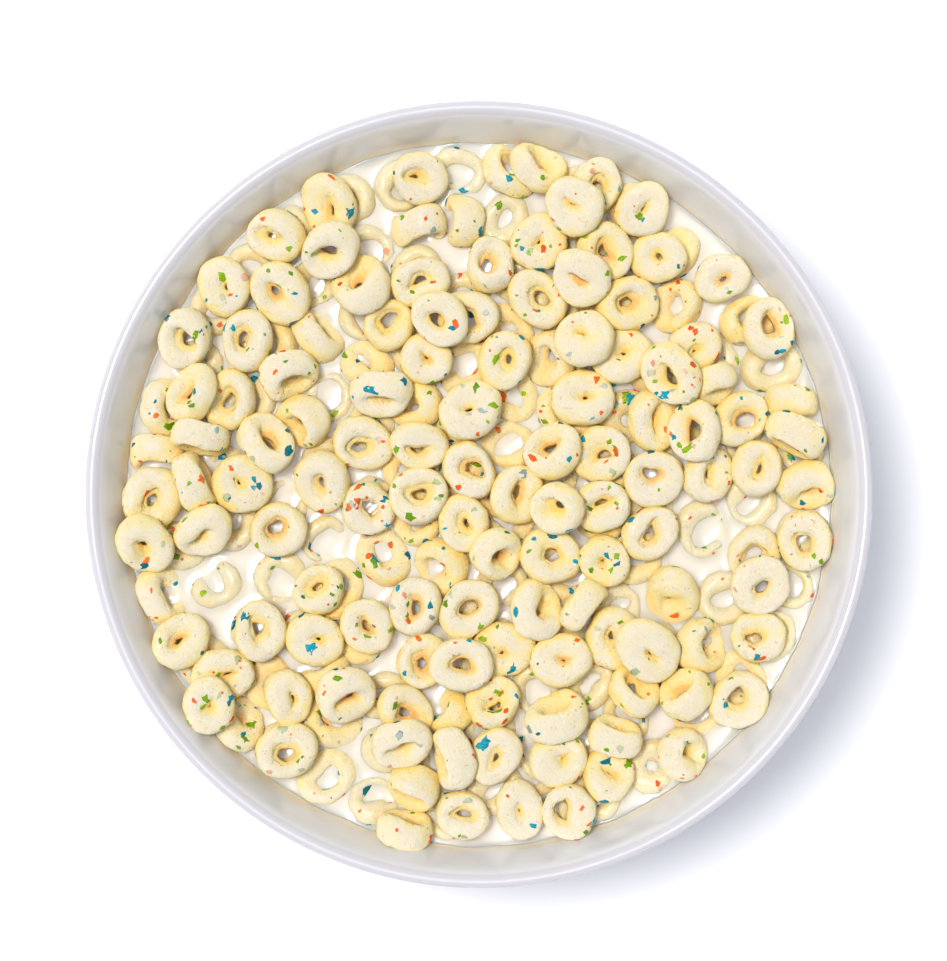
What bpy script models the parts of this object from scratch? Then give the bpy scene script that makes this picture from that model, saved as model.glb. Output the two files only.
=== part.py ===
"""A round cereal bowl, filled with milk and a floating heap of puffed cereal rings.

Metres, +Z up.  The origin is at the centre of the plane that the bowl's foot stands on.
Three solids: the turned bowl, the milk, and the heap with its uneven, ring-sized lumps.
"""

import math
import random
from collections import namedtuple

import bmesh
import bpy
from mathutils import Matrix, Vector
from mathutils.geometry import interpolate_bezier

# Bowl
RIM_RADIUS = 0.081
BOWL_HEIGHT = 0.062
LIP_WIDTH = 0.0026
LIP_SHOULDER = math.radians(50)
FLARE_WIDTH = 0.0034
FLARE_DEPTH = 0.0065
FLARE_ROUNDING = (0.0016, 0.0026)
FLARE_POINTS = 4
WALL_LEAN = math.radians(16)
WALL_REACH = 0.032
FLOOR_REACH = 0.056
FLOOR_HEIGHT = 0.0085
BASE_THICKNESS = 0.0052
FOOT_RADIUS = 0.0390
FOOT_WIDTH = 0.0050
FOOT_EASE = 0.0008
FOOT_RECESS = 0.0030
FOOT_FILLET = 0.0030
WALL_SLOPE_AT_FOOT = math.radians(22)
WALL_POINTS = 11
LIP_STEPS = 5
FILLET_STEPS = 3
TURN_STEPS = 60

# Milk and heap
MILK_LEVEL = BOWL_HEIGHT - 0.0155
GAP = 0.0003
POCKET_MARGIN = 0.00045
HEAP_RADIUS = 0.0698
HEAP_DEPTH = 0.0130
TROUGH_HEIGHT = 0.0012
HEAP_ROWS = 20
SEED = 7

# Lumps: each one is the rounded top of a ring
LUMP_ROWS = 7
LUMP_SPACING = 0.0112
LUMP_RADIUS = 0.0064
LUMP_RISE = 0.0054
LEAST_RISE = 0.0012
LUMP_WANDER = 0.0012

# The heap's side, row by row: its step outwards from the row above, and its depth in the milk
HEAP_SIDE = ((0.0004, 0.0012), (-0.0040, 0.0060), (-0.0100, HEAP_DEPTH))

Lump = namedtuple("Lump", "x y rise")


def clear_scene():
    for thing in list(bpy.data.objects):
        bpy.data.objects.remove(thing, do_unlink=True)


def make_collection(name):
    collection = bpy.data.collections.new(name)
    bpy.context.scene.collection.children.link(collection)
    return collection


def make_material(name, colour, roughness):
    material = bpy.data.materials.new(name)
    material.use_nodes = True
    shader = material.node_tree.nodes["Principled BSDF"]
    shader.inputs["Base Color"].default_value = (*colour, 1.0)
    shader.inputs["Roughness"].default_value = roughness
    shader.inputs["Metallic"].default_value = 0.0
    return material


def make_object(name, mesh, collection, material=None):
    made = bpy.data.objects.new(name, mesh)
    if material:
        mesh.materials.append(material)
    collection.objects.link(made)
    return made


def turned(name, profile, collection, material):
    """A solid of revolution about Z, from (radius, height) points that run down its outer side."""
    mesh = bpy.data.meshes.new(name)
    edges = [(i, i + 1) for i in range(len(profile) - 1)]
    mesh.from_pydata([(radius, 0.0, height) for radius, height in profile], edges, [])
    made = make_object(name, mesh, collection, material)
    screw = made.modifiers.new("Turn", "SCREW")
    screw.angle = math.tau
    screw.steps = TURN_STEPS
    screw.render_steps = TURN_STEPS
    screw.use_merge_vertices = True
    screw.merge_threshold = 0.0001
    screw.use_smooth_shade = True
    return made


def towards(angle):
    """The unit step at this angle, in the profile's plane or in plan."""
    return Vector((math.cos(angle), math.sin(angle)))


def on_lip(angle):
    """A point of the lip's round section, at this angle above the outward direction."""
    centre = Vector((RIM_RADIUS - LIP_WIDTH / 2, BOWL_HEIGHT - LIP_WIDTH / 2))
    return centre + towards(angle) * LIP_WIDTH / 2


def inner_wall():
    """The bowl's inside, from its lip to the axis: a small flare, then a lean wall that rounds into the floor."""
    lip = on_lip(math.pi - LIP_SHOULDER)
    inward = towards(-math.pi / 2 - LIP_SHOULDER) * FLARE_ROUNDING[0]
    top = Vector((RIM_RADIUS - LIP_WIDTH / 2 - FLARE_WIDTH, BOWL_HEIGHT - FLARE_DEPTH))
    down = towards(-math.pi / 2 - WALL_LEAN)
    flare = interpolate_bezier(lip, lip + inward, top - down * FLARE_ROUNDING[1], top, FLARE_POINTS)
    middle = Vector((0.0, FLOOR_HEIGHT))
    outward = Vector((FLOOR_REACH, 0.0))
    wall = interpolate_bezier(top, top + down * WALL_REACH, middle + outward, middle, WALL_POINTS)
    return flare[:-1] + wall


def offset(points, distances):
    """Points of the inner wall moved along its outward normal, each by its own distance."""
    moved = []
    last = len(points) - 1
    for i, (point, distance) in enumerate(zip(points, distances)):
        along = (points[min(i + 1, last)] - points[max(i - 1, 0)]).normalized()
        moved.append(point + Vector((-along.y, along.x)) * distance)
    return moved


def lip_arc():
    """The rounded lip, between the inner wall's top and the outer wall's."""
    return [on_lip(math.pi - LIP_SHOULDER - math.pi * step / LIP_STEPS) for step in range(1, LIP_STEPS)]


def outer_side(inside):
    """The bowl's outside: the inside offset by a wall that thickens steadily, then the foot's fillet."""
    steps = len(inside) - 1
    growth = BASE_THICKNESS - LIP_WIDTH
    thickness = [LIP_WIDTH + growth * i / steps for i in range(steps + 1)]
    wall = offset(inside, thickness)
    fillet = foot_fillet(wall)
    return [point for point in wall if point.x > fillet[0].x] + fillet


def point_at(wall, axis, value):
    """The point where the wall, which falls and narrows along its length, passes this radius or height."""
    before = max(i for i, point in enumerate(wall) if point[axis] > value)
    start, end = wall[before], wall[before + 1]
    return start.lerp(end, (start[axis] - value) / (start[axis] - end[axis]))


def foot_fillet(wall):
    """The hollow curve from the wall's slope round to the foot's upright side."""
    start = math.pi / 2 + WALL_SLOPE_AT_FOOT
    meets = point_at(wall, 0, FOOT_RADIUS + FOOT_FILLET * (1 + math.cos(start)))
    centre = meets - towards(start) * FOOT_FILLET
    angles = [start + (math.pi - start) * step / FILLET_STEPS for step in range(FILLET_STEPS + 1)]
    return [centre + towards(angle) * FOOT_FILLET for angle in angles]


def foot_ring():
    """The foot ring, from the end of its outer side across its flat base to the recess under the bowl."""
    inner = FOOT_RADIUS - FOOT_WIDTH
    return [
        Vector((FOOT_RADIUS, FOOT_EASE)),
        Vector((FOOT_RADIUS - FOOT_EASE, 0.0)),
        Vector((inner + FOOT_EASE, 0.0)),
        Vector((inner, FOOT_EASE)),
        Vector((inner - FOOT_EASE, FOOT_RECESS)),
        Vector((0.0, FOOT_RECESS)),
    ]


def make_bowl(collection, inside):
    profile = list(reversed(inside)) + lip_arc() + outer_side(inside) + foot_ring()
    glaze = make_material("white_glaze", (0.88, 0.88, 0.90), 0.12)
    return turned("bowl", profile, collection, glaze)


def milk_profile(inside):
    """The milk, from the middle of its surface out to the wall and down it, a gap clear of the bowl."""
    wall = offset(inside, [-GAP] * len(inside))
    wall[-1].x = 0.0
    below = [point for point in wall if point.y < MILK_LEVEL]
    return [Vector((0.0, MILK_LEVEL)), point_at(wall, 1, MILK_LEVEL)] + below


def make_milk(collection, inside, pocket):
    liquid = make_material("milk", (0.90, 0.88, 0.85), 0.20)
    milk = turned("milk", milk_profile(inside), collection, liquid)
    cut = milk.modifiers.new("Round the heap", "BOOLEAN")
    cut.operation = "DIFFERENCE"
    cut.solver = "EXACT"
    cut.object = pocket
    return milk


def scatter_lumps():
    """Ring-sized lumps in round rows, each a little off its place and of its own height."""
    chance = random.Random(SEED)
    lumps = []
    for row in range(LUMP_ROWS):
        reach = (HEAP_RADIUS - LUMP_RADIUS) * row / (LUMP_ROWS - 1)
        count = max(1, round(math.tau * reach / LUMP_SPACING))
        start = chance.uniform(0.0, math.tau)
        for i in range(count):
            place = towards(start + math.tau * i / count) * reach
            x = place.x + chance.uniform(-LUMP_WANDER, LUMP_WANDER)
            y = place.y + chance.uniform(-LUMP_WANDER, LUMP_WANDER)
            lumps.append(Lump(x, y, chance.uniform(LEAST_RISE, LUMP_RISE)))
    return lumps


def outline_reach(angle, lumps):
    """How far the heap goes at this angle: to the far side of the outermost lump there."""
    reach = 0.0
    for lump in lumps:
        along = lump.x * math.cos(angle) + lump.y * math.sin(angle)
        across = lump.y * math.cos(angle) - lump.x * math.sin(angle)
        if abs(across) < LUMP_RADIUS:
            reach = max(reach, along + math.sqrt(LUMP_RADIUS**2 - across**2))
    return reach


def top_height(x, y, lumps):
    """The heap's height above the milk: the highest lump there, or the trough between lumps."""
    highest = 0.0
    for lump in lumps:
        apart = math.hypot(x - lump.x, y - lump.y) / LUMP_RADIUS
        if apart < 1:
            highest = max(highest, lump.rise * math.sqrt(1 - apart**2))
    return TROUGH_HEIGHT + highest


def row_and_angle(point):
    """The row, 0 to 1 out to the edge, and the even angle of a point in a hexagon with a corner on X."""
    side = math.tau / 6
    angle = math.atan2(point.y, point.x) % math.tau
    start = math.floor(angle / side) * side
    from_middle = angle - start - side / 2
    row = math.hypot(point.x, point.y) * math.cos(from_middle) / math.cos(side / 2)
    return row, start + side / 2 * (1 + math.tan(from_middle) / math.tan(side / 2))


def add_heap_side(mesh, margin):
    """The heap's side, stepped down and in row by row from its outline, and its flat underside."""
    edges = [edge for edge in mesh.edges if edge.is_boundary]
    for step_out, depth in HEAP_SIDE:
        grown = bmesh.ops.extrude_edge_only(mesh, edges=edges)["geom"]
        edges = [item for item in grown if isinstance(item, bmesh.types.BMEdge) and item.is_boundary]
        for vertex in {vertex for edge in edges for vertex in edge.verts}:
            vertex.co.xy += vertex.co.xy.normalized() * step_out
            vertex.co.z = MILK_LEVEL - depth - margin
    bmesh.ops.holes_fill(mesh, edges=edges, sides=0)


def make_heap(name, collection, lumps, margin=0.0, material=None):
    """The heap as one closed solid, grown all round by the margin."""
    mesh = bmesh.new()
    corner_on_x = Matrix.Rotation(math.pi / 2, 4, "Z")
    bmesh.ops.create_circle(mesh, cap_ends=True, cap_tris=True, segments=6, radius=1.0, matrix=corner_on_x)
    bmesh.ops.subdivide_edges(mesh, edges=mesh.edges, cuts=HEAP_ROWS - 1, use_grid_fill=True)
    for vertex in mesh.verts:
        row, angle = row_and_angle(vertex.co)
        place = towards(angle) * row * outline_reach(angle, lumps)
        height = MILK_LEVEL + top_height(place.x, place.y, lumps)
        vertex.co.xy = place + towards(angle) * row * margin
        vertex.co.z = height + margin
    add_heap_side(mesh, margin)
    bmesh.ops.recalc_face_normals(mesh, faces=mesh.faces)
    data = bpy.data.meshes.new(name)
    mesh.to_mesh(data)
    mesh.free()
    data.shade_smooth()
    return make_object(name, data, collection, material)


def main():
    clear_scene()
    parts = make_collection("cereal_bowl")
    cutters = make_collection("cutters")
    inside = inner_wall()
    lumps = scatter_lumps()
    make_bowl(parts, inside)
    baked = make_material("puffed_cereal", (0.80, 0.70, 0.43), 0.75)
    make_heap("cereal", parts, lumps, material=baked)
    pocket = make_heap("heap_pocket", cutters, lumps, margin=POCKET_MARGIN)
    pocket.hide_render = True
    pocket.display_type = "WIRE"
    make_milk(parts, inside, pocket)


main()
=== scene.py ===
"""The looks of a bowl of cereal: a glazed bowl, milk, and a heap of puffed rings with coloured flecks.

Metres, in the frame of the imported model.  The rings are let fall into the bowl by a rigid body
simulation, so that they lie as loose rings do.  The milk's surface is then shaped round them.
"""

import math
import random
from collections import namedtuple

import bpy
import numpy as np
from mathutils import Matrix, Vector
from mathutils.bvhtree import BVHTree


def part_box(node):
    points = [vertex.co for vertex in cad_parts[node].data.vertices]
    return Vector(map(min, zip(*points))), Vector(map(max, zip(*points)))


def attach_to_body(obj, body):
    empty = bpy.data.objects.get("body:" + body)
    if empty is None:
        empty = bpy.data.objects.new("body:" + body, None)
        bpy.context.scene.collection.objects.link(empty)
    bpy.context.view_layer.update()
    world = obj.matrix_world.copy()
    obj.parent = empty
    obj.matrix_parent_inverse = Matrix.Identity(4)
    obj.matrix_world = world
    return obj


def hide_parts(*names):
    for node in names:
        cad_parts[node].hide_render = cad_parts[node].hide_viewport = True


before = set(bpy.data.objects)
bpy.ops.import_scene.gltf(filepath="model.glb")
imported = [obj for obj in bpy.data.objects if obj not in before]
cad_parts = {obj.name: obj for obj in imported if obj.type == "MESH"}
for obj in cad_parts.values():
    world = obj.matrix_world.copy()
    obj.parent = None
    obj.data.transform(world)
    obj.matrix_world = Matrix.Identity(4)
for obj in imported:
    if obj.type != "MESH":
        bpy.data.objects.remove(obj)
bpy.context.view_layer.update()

MM = 0.001
NEAR = 1e-6
TINY = 1e-12
GOLDEN_ANGLE = math.pi * (3 - math.sqrt(5))

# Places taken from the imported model
RIM_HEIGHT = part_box("bowl")[1].z
MILK_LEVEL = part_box("milk")[1].z
MILK_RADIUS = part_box("milk")[1].x
MILK_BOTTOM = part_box("milk")[0].z
HEAP_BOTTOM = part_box("cereal")[0].z

# Camera: straight above the bowl, a little off its axis, far off behind a long lens
LENS = 150.0
SENSOR = 36.0
VIEW_HEIGHT = 0.1974
CAMERA_OFFSET = Vector((-1.13 * MM, 2.88 * MM))

# Light: a soft source high on the left and a little behind, a broad panel nearly overhead, and a surround
# that is faint above and light near the horizon, as a white studio's walls are
LIGHT_AZIMUTH = math.radians(153)
KEY_TILT = math.radians(15)
KEY_ANGLE = math.radians(14)
KEY_STRENGTH = 1.85
KEY_COLOUR = (1.0, 0.965, 0.91)
PANEL_TILT = math.radians(5)
PANEL_EDGE = math.radians(26)
PANEL_MIDDLE = math.radians(4)
PANEL_LEVEL = 3.4
SKY_LEVEL = 0.2
WALLS_LEVEL = 0.9
WALLS_TOP = math.radians(40)
SKY_COLOUR = (0.9, 0.93, 1.0)
FLOOR_HALF = 3.0

# Bowl: turned from the imported bowl's own section, with finer steps; its lip has painted grey shade to this
# depth, and its foot is bare to this height
BOWL_TURNS = 192
BOWL_STEP = 1.1 * MM
LIP_SHADE_DEPTH = 1.6 * MM
BARE_FOOT = 0.3 * MM

# Rings: a middling ring's radius and half height, and how finely each ring is made
RING_RADIUS = 5.9 * MM
RING_HALF_HEIGHT = 3.0 * MM
RING_STEPS = 44
SECTION_STEPS = 24

# A ring's section: powers that square its outer side and top a little, and how far round the inner side its
# dimple's wall goes before the dimple's floor begins
OUTER_POWER = 0.88
UPPER_POWER = 0.95
DIMPLE_WALL = math.radians(60)

# Kinds of ring: the share of rings up to and with this kind, the dimple's half sizes along and across in
# millimetres, how high its floor lies from the ring's middle to its top, and how much of its width is open
RingKind = namedtuple("RingKind", "up_to long short floor opening")
RING_KINDS = (
    RingKind(0.45, long=(2.5, 3.1), short=(1.6, 2.2), floor=(0.2, 0.5), opening=(0.45, 0.75)),
    RingKind(0.75, long=(2.2, 2.9), short=(1.1, 1.6), floor=(0.25, 0.5), opening=(0.25, 0.55)),
    RingKind(1.0, long=(1.4, 2.2), short=(0.7, 1.3), floor=(0.4, 0.65), opening=(0.08, 0.3)),
)
# Share of rings that are much browner inside their holes
BROWN_HOLE_SHARE = 0.35

# Lumps of the puffed dough: each kind's height, shortest and longest wave, and number of crossed waves
LUMPS = ((0.055 * MM, 3.5 * MM, 8.0 * MM, 7), (0.025 * MM, 1.9 * MM, 2.8 * MM, 9))

# Heap: the rings are let fall in layers on a slightly uneven bed.  A layer has its number of rings, its first
# ring's angle, the room it keeps from the wall in ring radii, its lowest start above the milk, how far starts
# differ in height, and how much its rings are tumbled.
SEED = 11
BED_DEPTH = 4.8 * MM
BED_WAVE = 0.7 * MM
Layer = namedtuple("Layer", "count first_angle wall_room height scatter tumble")
LAYERS = (
    Layer(124, first_angle=0.0, wall_room=1.06, height=2 * MM, scatter=2 * MM, tumble=0.16),
    Layer(116, first_angle=1.9, wall_room=1.1, height=12 * MM, scatter=7 * MM, tumble=0.5),
)
START_JITTER_MM = 0.8

# Power of a start's distance from the middle: the further below a half, the closer rings stand near the wall
CROWDING = 0.475

# Rings that come to rest steeper or higher above the milk than this fall again, tumbled as the last layer's
# are, each where there is most room among some random spots
RETRIES = 1
STEEP = math.radians(68)
TALL = 6.0 * MM
AGAIN_HEIGHT = 13 * MM
AGAIN_SCATTER = 4 * MM
SPOTS_TRIED = 60

# Simulation, in which a millimetre is one unit
SIM_SCALE = 1000.0
SIM_FRAMES = 90
SIM_GRAVITY = 120.0
PROXY_STEPS = (10, 6)
BED_STEPS = 72
BED_ROWS = 18
FUNNEL_HEIGHT = 60 * MM

# Sky that each part of a ring sees, which sets the painted shade in its colour, looked up with so many rays of
# this length; and how rings differ in tone
SKY_RAYS = 16
SKY_REACH = 16 * MM
TONE_SPREAD = 0.2

# Rings are dry from the first height above the milk, and wet below the second
DRY_FROM = 3.2 * MM
WET_BELOW = 0.3 * MM

# Milk: rows of its surface and of its body, how it climbs the wall and the rings and thins out over them, and
# how strongly and how far near the rings it is painted cream as warm bounce light
MILK_ROWS = 150
BODY_ROWS = 9
WALL_CLIMB = 0.7 * MM
WALL_WAVES = ((7, 0.6), (17, 2.1), (29, 4.4), (43, 1.2))
WALL_UNEVENNESS = 0.9
WALL_REACH = 1.3 * MM
WALL_OVERLAP = 0.05 * MM
HIDDEN_DEPTH = 0.3 * MM
SHOWN_DEPTH = 0.1 * MM
RING_CLIMB = 0.3 * MM
CLIMB_REACH = 1.1 * MM
FILM_DEPTH = 0.8 * MM
PAINTED_BOUNCE_CREAM = 0.7
PAINTED_BOUNCE_REACH = 1.6 * MM
SMOOTHINGS = 4

# Core under the rings: rows of its surface, its room from the wall, its depth under the bed, and its looks: a
# little of the holes' brown, a middling sky seen for the painted shade, and full wetness
CORE_ROWS = 36
CORE_WALL_ROOM = 9 * MM
CORE_DEPTH = 0.9 * MM
CORE_LUMPS = 0.4 * MM
CORE_LOOKS = (0.1, 0.5, 1.0)

# Flecks: thin chips baked into the rings' surface.  Their number on a ring and their size in millimetres are
# log-normal, given as the middle's logarithm and the spread, and kept between the least and the most.
FLECKS = (2.78, 0.5)
FEWEST_FLECKS = 5
MOST_FLECKS = 40
FLECK_SIZE = (-0.5, 0.55)
SMALLEST_FLECK = 0.16
LARGEST_FLECK = 1.4
FLECK_CORNERS = 7
FLECK_LIFT = 0.05 * MM
CHIP_BEND = 0.5
CHIP_INNERMOST = -0.75
CHIP_FACING = -0.4
CHIP_DEPTH = 0.4 * MM
FLECK_COLOURS = ("teal", "green", "orange")
FLECK_SHARES = (0.3, 0.39, 0.31)
FLECK_SIZES = (1.38, 1.1, 0.97)
FADED_SHARE = 0.22

# Bake layout, in shares of its square: the margin in a ring's tile, the milk's top, the strip for the milk's
# body and the corner for its floor, and the circles of a chip's points in the chip's tile
TILE_MARGIN = 0.02
TOP_HALF = 0.46
TOP_MIDDLE = (0.5, 0.53)
BODY_STRIP = 0.055
BODY_FLOOR = 0.002
CHIP_CIRCLES = (0.0, 0.18, 0.32, 0.44)

Ring = namedtuple("Ring", "radius height outline dimple dimple_edge dimple_bend dimple_turn floor opening "
                          "shift swell warp waves tone toast")


# ------------ helpers


def smooth(low, high, value):
    """0 below low, 1 above high, and an even curve between."""
    t = np.clip((value - low) / (high - low), 0.0, 1.0)
    return t * t * (3 - 2 * t)


def display(red, green, blue):
    """A colour as seen on screen, 0 to 255, as the linear colour a shader takes."""
    linear = []
    for shown in (red / 255, green / 255, blue / 255):
        linear.append(((shown + 0.055) / 1.055) ** 2.4 if shown > 0.04045 else shown / 12.92)
    return (*linear, 1.0)


def mesh_object(name, points, faces, materials=()):
    mesh = bpy.data.meshes.new(name)
    mesh.from_pydata(np.asarray(points).tolist(), [], [tuple(face) for face in faces])
    mesh.shade_smooth()
    for material in materials:
        mesh.materials.append(material)
    made = bpy.data.objects.new(name, mesh)
    bpy.context.scene.collection.objects.link(made)
    return made


def paint(piece, values):
    """Keeps three numbers for each point, which the piece's material reads."""
    colours = np.ones((len(values), 4), dtype=np.float32)
    colours[:, :3] = values
    attribute = piece.data.attributes.new("look", "FLOAT_COLOR", "POINT")
    attribute.data.foreach_set("color", colours.ravel())


def lay_out(piece, corners):
    """Gives the piece its own layout for baking: a (u, v) for each corner of each face, in order."""
    layer = piece.data.uv_layers.new(name="OFBake")
    layer.data.foreach_set("uv", np.asarray(corners, dtype=np.float32).ravel())


def attach(piece, node_name):
    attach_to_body(piece, "root")
    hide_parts(node_name)


def disc_grid(rows):
    """A disc of even triangles: each point's row and angle, row by row from the middle, and the faces."""
    row_of, angle_of, faces = [0], [0.0], []
    for row in range(1, rows + 1):
        row_of += [row] * (6 * row)
        angle_of += [math.tau * step / (6 * row) for step in range(6 * row)]
    for row in range(rows):
        inner, outer = (1 + 3 * row * (row - 1) if row else 0), 1 + 3 * row * (row + 1)
        for side in range(6):
            for step in range(row + 1):
                a = outer + side * (row + 1) + step
                b = outer + (side * (row + 1) + step + 1) % (6 * (row + 1))
                c = inner + (side * row + step) % max(6 * row, 1)
                faces.append((a, b, c))
                if step < row:
                    faces.append((c, b, inner + (side * row + step + 1) % (6 * row)))
    return np.array(row_of), np.array(angle_of), faces


# ------------ the bowl's section


def bowl_outline():
    """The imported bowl's section: (radius, height) from the middle of its inside to the middle of its base."""
    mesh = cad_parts["bowl"].data
    keys = {}
    for vertex in mesh.vertices:
        if abs(vertex.co.y) < NEAR and vertex.co.x > -NEAR:
            keys[vertex.index] = (round(vertex.co.x, 6), round(vertex.co.z, 6))
    beside = {key: set() for key in keys.values()}
    for edge in mesh.edges:
        a, b = (keys.get(index) for index in edge.vertices)
        if a and b and a != b:
            beside[a].add(b)
            beside[b].add(a)
    here = max((key for key in beside if key[0] < NEAR), key=lambda key: key[1])
    outline = [here]
    while True:
        onward = [key for key in beside[here] if key not in outline]
        if not onward:
            return np.array(outline + [(0.0, here[1])])
        here = onward[0]
        outline.append(here)


def curve_point(points, knots, t):
    """A point of the Catmull-Rom curve through four points, between the middle two."""

    def between(a, b, i, j):
        return (a * (knots[j] - t) + b * (t - knots[i])) / (knots[j] - knots[i])

    first = [between(points[k], points[k + 1], k, k + 1) for k in range(3)]
    second = [between(first[k], first[k + 1], k, k + 2) for k in range(2)]
    return between(second[0], second[1], 1, 2)


def refined(points, step):
    """The line through the points, smoothed between them, in steps of at most step."""
    guides = np.vstack([2 * points[0] - points[1], points, 2 * points[-1] - points[-2]])
    line = []
    for i in range(len(points) - 1):
        four = guides[i:i + 4]
        lengths = np.linalg.norm(np.diff(four, axis=0), axis=1)
        knots = np.concatenate([[0], np.cumsum(np.sqrt(lengths))])
        count = max(1, math.ceil(lengths[1] / step))
        line += [curve_point(four, knots, t) for t in np.linspace(knots[1], knots[2], count, endpoint=False)]
    return np.clip(line + [points[-1]], points.min(0), points.max(0))


OUTLINE = bowl_outline()
LIP = int(np.argmax(OUTLINE[:, 1]))


def wall_radius(height):
    """The bowl's inner radius at a height."""
    return np.interp(height, OUTLINE[:LIP + 1, 1], OUTLINE[:LIP + 1, 0])


# ------------ ring shapes


def random_ring(chance):
    """One ring's uneven outline, its dimple and the opening in it, and how it is swollen and warped."""
    draw = chance.random()
    kind = next(kind for kind in RING_KINDS if draw < kind.up_to)
    dimple = (chance.uniform(*kind.long) * MM, chance.uniform(*kind.short) * MM)
    floor, opening = chance.uniform(*kind.floor), chance.uniform(*kind.opening)
    long_way = chance.uniform(0, math.tau)
    return Ring(
        radius=RING_RADIUS * chance.gauss(1.0, 0.055),
        height=RING_HALF_HEIGHT * chance.gauss(1.0, 0.07),
        outline=((2, chance.uniform(0.02, 0.12), long_way),
                 (3, chance.uniform(0.0, 0.03), chance.uniform(0, math.tau))),
        dimple=dimple,
        dimple_edge=((3, chance.uniform(0.0, 0.08), chance.uniform(0, math.tau)),
                     (5, chance.uniform(0.0, 0.06), chance.uniform(0, math.tau))),
        dimple_bend=chance.uniform(-0.35, 0.35) * dimple[0],
        dimple_turn=long_way + chance.gauss(0, 0.35),
        floor=floor,
        opening=opening,
        shift=(chance.gauss(0, 0.35) * MM, chance.gauss(0, 0.35) * MM),
        swell=(chance.uniform(0.0, 0.16), chance.uniform(0, math.tau)),
        warp=(chance.uniform(0.0, 0.5) * MM, chance.uniform(0, math.tau)),
        waves=chance.randrange(1 << 30),
        tone=chance.random(),
        # How much browner the ring is inside its hole
        toast=chance.uniform(0.6, 1.0) if chance.random() < BROWN_HOLE_SHARE else chance.uniform(0.0, 0.3),
    )


def lobes(around, waves):
    """An uneven outline's reach at each angle, about 1, from each wave's count of lobes, height and turn."""
    reach = 1
    for count, height, turn in waves:
        reach = reach + height * np.cos(count * (around - turn))
    return reach


def outlines(ring, around):
    """The ring's outer edge and the edge of its dimple, in the ring's own plane."""
    reach = ring.radius * lobes(around, ring.outline)
    outer = np.stack([reach * np.cos(around), reach * np.sin(around)], -1)
    turned = around - ring.dimple_turn
    edge = lobes(turned, ring.dimple_edge)
    wide = ring.dimple[0] * np.cos(turned) * edge
    narrow = ring.dimple[1] * np.sin(turned) * edge + ring.dimple_bend * (np.cos(turned) ** 2 - 0.5)
    c, s = math.cos(ring.dimple_turn), math.sin(ring.dimple_turn)
    return outer, np.stack([wide * c - narrow * s, wide * s + narrow * c], -1)


def ring_section(ring, across):
    """How far each point of the section lies outwards, in towards the dimple, over its floor, and upwards."""
    cosine, sine = np.cos(across), np.sin(across)
    outside = np.maximum(cosine, 0)[..., None] ** OUTER_POWER
    inward = np.where(cosine < 0, math.pi / 2 - np.abs(across % math.tau - math.pi), 0)
    down = np.minimum(inward / DIMPLE_WALL, 1) * math.pi / 2
    over = np.clip((inward - DIMPLE_WALL) / (math.pi / 2 - DIMPLE_WALL), 0, 1)[..., None]
    up = np.where(cosine < 0, ring.floor + (1 - ring.floor) * np.cos(down), np.abs(sine) ** UPPER_POWER)
    return outside, np.sin(down)[..., None], over, np.sign(np.round(sine, 9)) * up


def ring_surface(ring, around, across):
    """Points of the ring's surface; around goes round the hole and across round the section."""
    around, across = np.broadcast_arrays(around, across)
    outer, dimple = outlines(ring, around)
    dimple = dimple + ring.shift
    opening = dimple * ring.opening + np.array(ring.shift)
    crest = (outer + dimple) / 2
    outside, inside, over, up = ring_section(ring, across)
    level = crest + (outer - crest) * outside + (dimple - crest) * inside + (opening - dimple) * over
    tall = ring.height * (1 + ring.swell[0] * np.cos(around - ring.swell[1]))
    warp = ring.warp[0] * np.cos(2 * (around - ring.warp[1]))
    points = np.concatenate([level, (tall * up + warp)[..., None]], -1)
    outward = points - np.concatenate([crest, warp[..., None]], -1)
    outward /= np.maximum(np.linalg.norm(outward, axis=-1, keepdims=True), TINY)
    return points + outward * lumps(points, ring.waves)[..., None]


def lumps(points, seed):
    """The gentle unevenness of puffed dough: a few crossed waves."""
    rng = np.random.default_rng(seed)
    total = np.zeros(points.shape[:-1])
    for height, shortest, longest, count in LUMPS:
        for _ in range(count):
            direction = rng.normal(size=3)
            direction *= math.tau / rng.uniform(shortest, longest) / np.linalg.norm(direction)
            total += height * np.sin(points @ direction + rng.uniform(0, math.tau))
    return total


def ring_grid(around_steps, across_steps):
    around = np.arange(around_steps) * math.tau / around_steps
    across = np.arange(across_steps) * math.tau / across_steps
    return np.meshgrid(around, across, indexing="ij")


def ring_quads(around_steps, across_steps):
    """The faces of a ring's grid, and where each face's corners lie in the ring's own unit square."""
    i, j = np.meshgrid(np.arange(around_steps), np.arange(across_steps), indexing="ij")
    corners = [np.stack([i + a, j + b], -1) for a, b in ((0, 0), (1, 0), (1, 1), (0, 1))]
    corners = np.stack(corners, 2).reshape(-1, 4, 2)
    faces = (corners[..., 0] % around_steps) * across_steps + corners[..., 1] % across_steps
    return faces, corners / (around_steps, across_steps)


# ------------ letting the rings fall


def bed_height(x, y):
    """The uneven bed under the heap: broad waves, with smaller ones on them."""
    broad = np.sin(x / (17 * MM) + 1.3) * np.cos(y / (21 * MM) - 0.4)
    small = 0.8 * np.sin(x / (4 * MM)) * np.sin(y / (3 * MM))
    return MILK_LEVEL - BED_DEPTH + BED_WAVE * (broad + small)


def body(name, points, faces, kind, shape):
    """An object for the simulation."""
    made = mesh_object(name, np.asarray(points) * SIM_SCALE, faces)
    bpy.context.scene.rigidbody_world.collection.objects.link(made)
    made.rigid_body.type = kind
    made.rigid_body.collision_shape = shape
    made.rigid_body.use_margin = True
    made.rigid_body.collision_margin = 0.06
    made.rigid_body.friction = 0.5
    made.rigid_body.restitution = 0.0
    return made


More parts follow.
